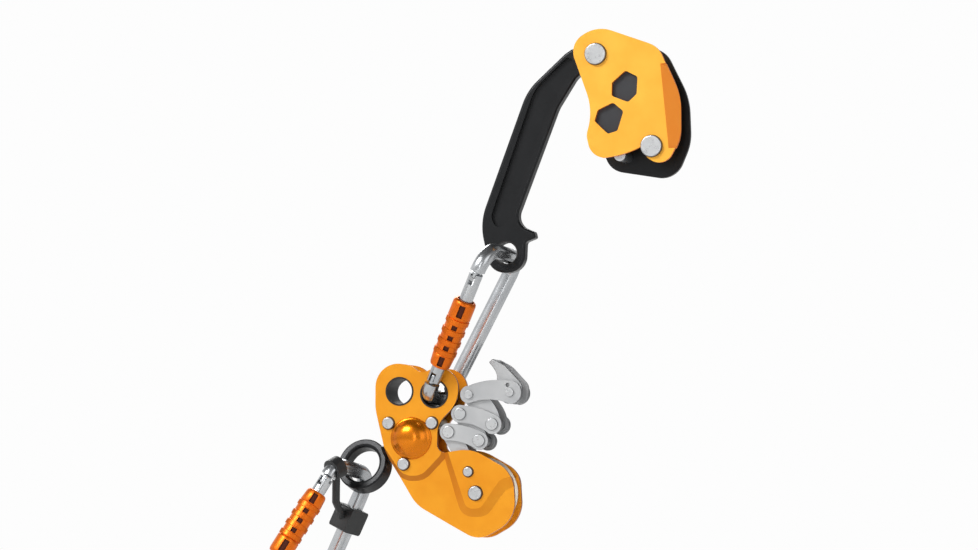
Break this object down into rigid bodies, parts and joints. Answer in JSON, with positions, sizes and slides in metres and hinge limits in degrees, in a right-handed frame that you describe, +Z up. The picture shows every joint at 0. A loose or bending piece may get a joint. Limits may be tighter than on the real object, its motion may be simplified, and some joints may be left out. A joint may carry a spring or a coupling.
{
  "type": "rope ascender",
  "caption": "Rope-climbing ascender: plated hitch with folding friction chain, sheave and swivel, joined by a locking connector to a rope brake on a lever arm.",
  "frame": {"origin": "centre of the open attachment eye of the hitch, halfway through its thickness", "axes": "+Z up, +X from the open eye towards the rope, +Y from the front plate to the rear plate"},
  "size_m": [0.2516, 0.0674, 0.3442],
  "materials": {
    "plate_gold": "anodised aluminium, golden orange, satin",
    "bearing_amber": "anodised aluminium, deep amber, glossy",
    "bush_black": "black anodised aluminium, satin",
    "rivet_steel": "stainless steel, satin",
    "link_steel": "stainless steel, bead blasted",
    "sheave_aluminium": "turned aluminium, satin",
    "bearing_steel": "ground steel",
    "swivel_black": "black anodised aluminium, satin",
    "connector_silver": "polished aluminium",
    "sleeve_orange": "anodised aluminium, orange, satin",
    "bar_black": "moulded nylon, matt",
    "brake_gold": "anodised aluminium, golden yellow, satin",
    "brake_black": "black anodised aluminium, satin",
    "post_black": "black hard-anodised aluminium, matt",
    "arm_black": "black anodised aluminium, glossy"
  },
  "bodies": {
    "hitch_frame": {"hitch_front_plate": "plate_gold", "hitch_rear_plate": "plate_gold", "front_bearing_cover": "bearing_amber", "rear_bearing_cover": "bearing_amber", "frame_rivets": "rivet_steel", "rivet_spacers": "sheave_aluminium", "left_eye_bush": "bush_black", "right_eye_bush": "bush_black", "chain_anchor_studs": "rivet_steel", "sheave_axle": "rivet_steel", "sheave_bearing_core": "bearing_steel", "sheave_washers": "bearing_steel", "swivel_housing": "plate_gold", "swivel_bearing_race": "bearing_steel"},
    "rope_sheave": {"sheave": "sheave_aluminium", "sheave_bearing_ring": "bearing_steel"},
    "swivel": {"swivel_eye": "swivel_black", "swivel_nut": "bearing_steel"},
    "link_anchor": {"anchor_link": "link_steel"},
    "link_lower_outer": {"lower_outer_link": "link_steel", "link_pin_l3": "link_steel", "link_roller_l3": "link_steel", "link_pin_r3": "link_steel", "link_roller_r3": "link_steel"},
    "link_lower_inner": {"lower_inner_link": "link_steel"},
    "link_middle_outer": {"middle_outer_link": "link_steel", "link_pin_l2": "link_steel", "link_roller_l2": "link_steel", "link_pin_r2": "link_steel", "link_roller_r2": "link_steel"},
    "link_upper_inner": {"upper_inner_link": "link_steel"},
    "link_top_outer": {"top_outer_link": "link_steel", "link_pin_l1": "link_steel", "link_roller_l1": "link_steel", "link_pin_r1": "link_steel"},
    "lever": {"release_lever": "link_steel"},
    "upper_connector": {"upper_connector_body": "connector_silver", "upper_connector_gate_rivet": "rivet_steel"},
    "upper_gate": {"upper_connector_gate": "connector_silver", "upper_connector_sleeve_bush": "bar_black"},
    "upper_sleeve": {"upper_connector_sleeve": "sleeve_orange"},
    "lower_connector": {"lower_connector_body": "connector_silver", "lower_connector_gate_rivet": "rivet_steel", "positioning_bar": "bar_black"},
    "lower_gate": {"lower_connector_gate": "connector_silver", "lower_connector_sleeve_bush": "bar_black"},
    "lower_sleeve": {"lower_connector_sleeve": "sleeve_orange"},
    "arm": {"brake_arm": "arm_black", "arm_eye_bush": "bush_black", "arm_pivot_bush": "bearing_steel"},
    "brake": {"brake_rear_plate": "brake_black", "brake_upper_post": "post_black", "brake_lower_post": "post_black", "brake_pivot_pin": "rivet_steel", "brake_lock_pin": "rivet_steel", "brake_spacer": "rivet_steel"},
    "brake_plate": {"brake_front_plate": "brake_gold"}
  },
  "joints": [
    {"name": "sheave_spin", "type": "hinge", "parent": "hitch_frame", "child": "rope_sheave", "pos_m": [0.0455, 0, -0.0593], "axis": [0, 1, 0], "continuous": true},
    {"name": "swivel_turn", "type": "hinge", "parent": "hitch_frame", "child": "swivel", "pos_m": [0.007, 0, -0.0273], "axis": [-0.8875, 0, -0.4609], "continuous": true},
    {"name": "chain_fold", "type": "hinge", "parent": "hitch_frame", "child": "link_anchor", "pos_m": [0.0412, 0, -0.0469], "axis": [0, -1, 0], "range_deg": [-14, 0]},
    {"name": "chain_l3", "type": "hinge", "parent": "link_anchor", "child": "link_lower_outer", "pos_m": [0.0292, 0, -0.0238], "axis": [0, -1, 0], "range_deg": [-1, 29]},
    {"name": "chain_r3", "type": "hinge", "parent": "link_lower_outer", "child": "link_lower_inner", "pos_m": [0.0474, 0, -0.0289], "axis": [0, -1, 0], "range_deg": [-29, 1]},
    {"name": "chain_l2", "type": "hinge", "parent": "link_lower_inner", "child": "link_middle_outer", "pos_m": [0.0361, 0, -0.0133], "axis": [0, -1, 0], "range_deg": [-1, 29]},
    {"name": "chain_r2", "type": "hinge", "parent": "link_middle_outer", "child": "link_upper_inner", "pos_m": [0.0552, 0, -0.0194], "axis": [0, -1, 0], "range_deg": [-29, 1]},
    {"name": "chain_l1", "type": "hinge", "parent": "link_upper_inner", "child": "link_top_outer", "pos_m": [0.0414, 0, -0.0021], "axis": [0, -1, 0], "range_deg": [-1, 29]},
    {"name": "lever_pivot", "type": "hinge", "parent": "link_top_outer", "child": "lever", "pos_m": [0.0658, 0, -0.001], "axis": [0, -1, 0], "range_deg": [-20, 20]},
    {"name": "upper_connector_swing", "type": "hinge", "parent": "hitch_frame", "child": "upper_connector", "pos_m": [0.0208, 0, -0.0016], "axis": [0, -1, 0], "range_deg": [-30, 30]},
    {"name": "upper_gate_pivot", "type": "hinge", "parent": "upper_connector", "child": "upper_gate", "pos_m": [0.02232, -0.01796, 0.00684], "axis": [-0.8813, 0.1045, 0.4608], "range_deg": [0, 20], "stiffness_Nm_per_rad": 0.02, "springref_deg": -20.05},
    {"name": "upper_sleeve_turn", "type": "hinge", "parent": "upper_gate", "child": "upper_sleeve", "pos_m": [0.03518, -0.02497, 0.03302], "axis": [0.4285, -0.2339, 0.8727], "range_deg": [0, 90]},
    {"name": "arm_swing", "type": "hinge", "parent": "upper_connector", "child": "arm", "pos_m": [0.06219, 0, 0.08012], "axis": [0, -1, 0], "range_deg": [-25, 25]},
    {"name": "brake_swing", "type": "hinge", "parent": "arm", "child": "brake", "pos_m": [0.1172, 0, 0.1943], "axis": [0, -1, 0], "range_deg": [-15, 30]},
    {"name": "brake_plate_open", "type": "hinge", "parent": "brake", "child": "brake_plate", "pos_m": [0.1172, 0, 0.1943], "axis": [0, -1, 0], "range_deg": [0, 95]},
    {"name": "lower_connector_swing", "type": "hinge", "parent": "swivel", "child": "lower_connector", "pos_m": [-0.024, 0, -0.0434], "axis": [0.1727, 0.9272, -0.3324], "range_deg": [-12, 12]},
    {"name": "lower_gate_pivot", "type": "hinge", "parent": "lower_connector", "child": "lower_gate", "pos_m": [-0.04085, -0.02559, -0.05169], "axis": [0.832, -0.4067, -0.3774], "range_deg": [0, 20], "stiffness_Nm_per_rad": 0.02, "springref_deg": -20.05},
    {"name": "lower_sleeve_turn", "type": "hinge", "parent": "lower_gate", "child": "lower_sleeve", "pos_m": [-0.05551, -0.03204, -0.07706], "axis": [-0.4886, -0.2148, -0.8456], "range_deg": [0, 90]}
  ],
  "couplings": [
    {"joint": "chain_l3", "follows": "chain_fold", "ratio": -2},
    {"joint": "chain_r3", "follows": "chain_fold", "ratio": 2},
    {"joint": "chain_l2", "follows": "chain_fold", "ratio": -2},
    {"joint": "chain_r2", "follows": "chain_fold", "ratio": 2},
    {"joint": "chain_l1", "follows": "chain_fold", "ratio": -2}
  ]
}
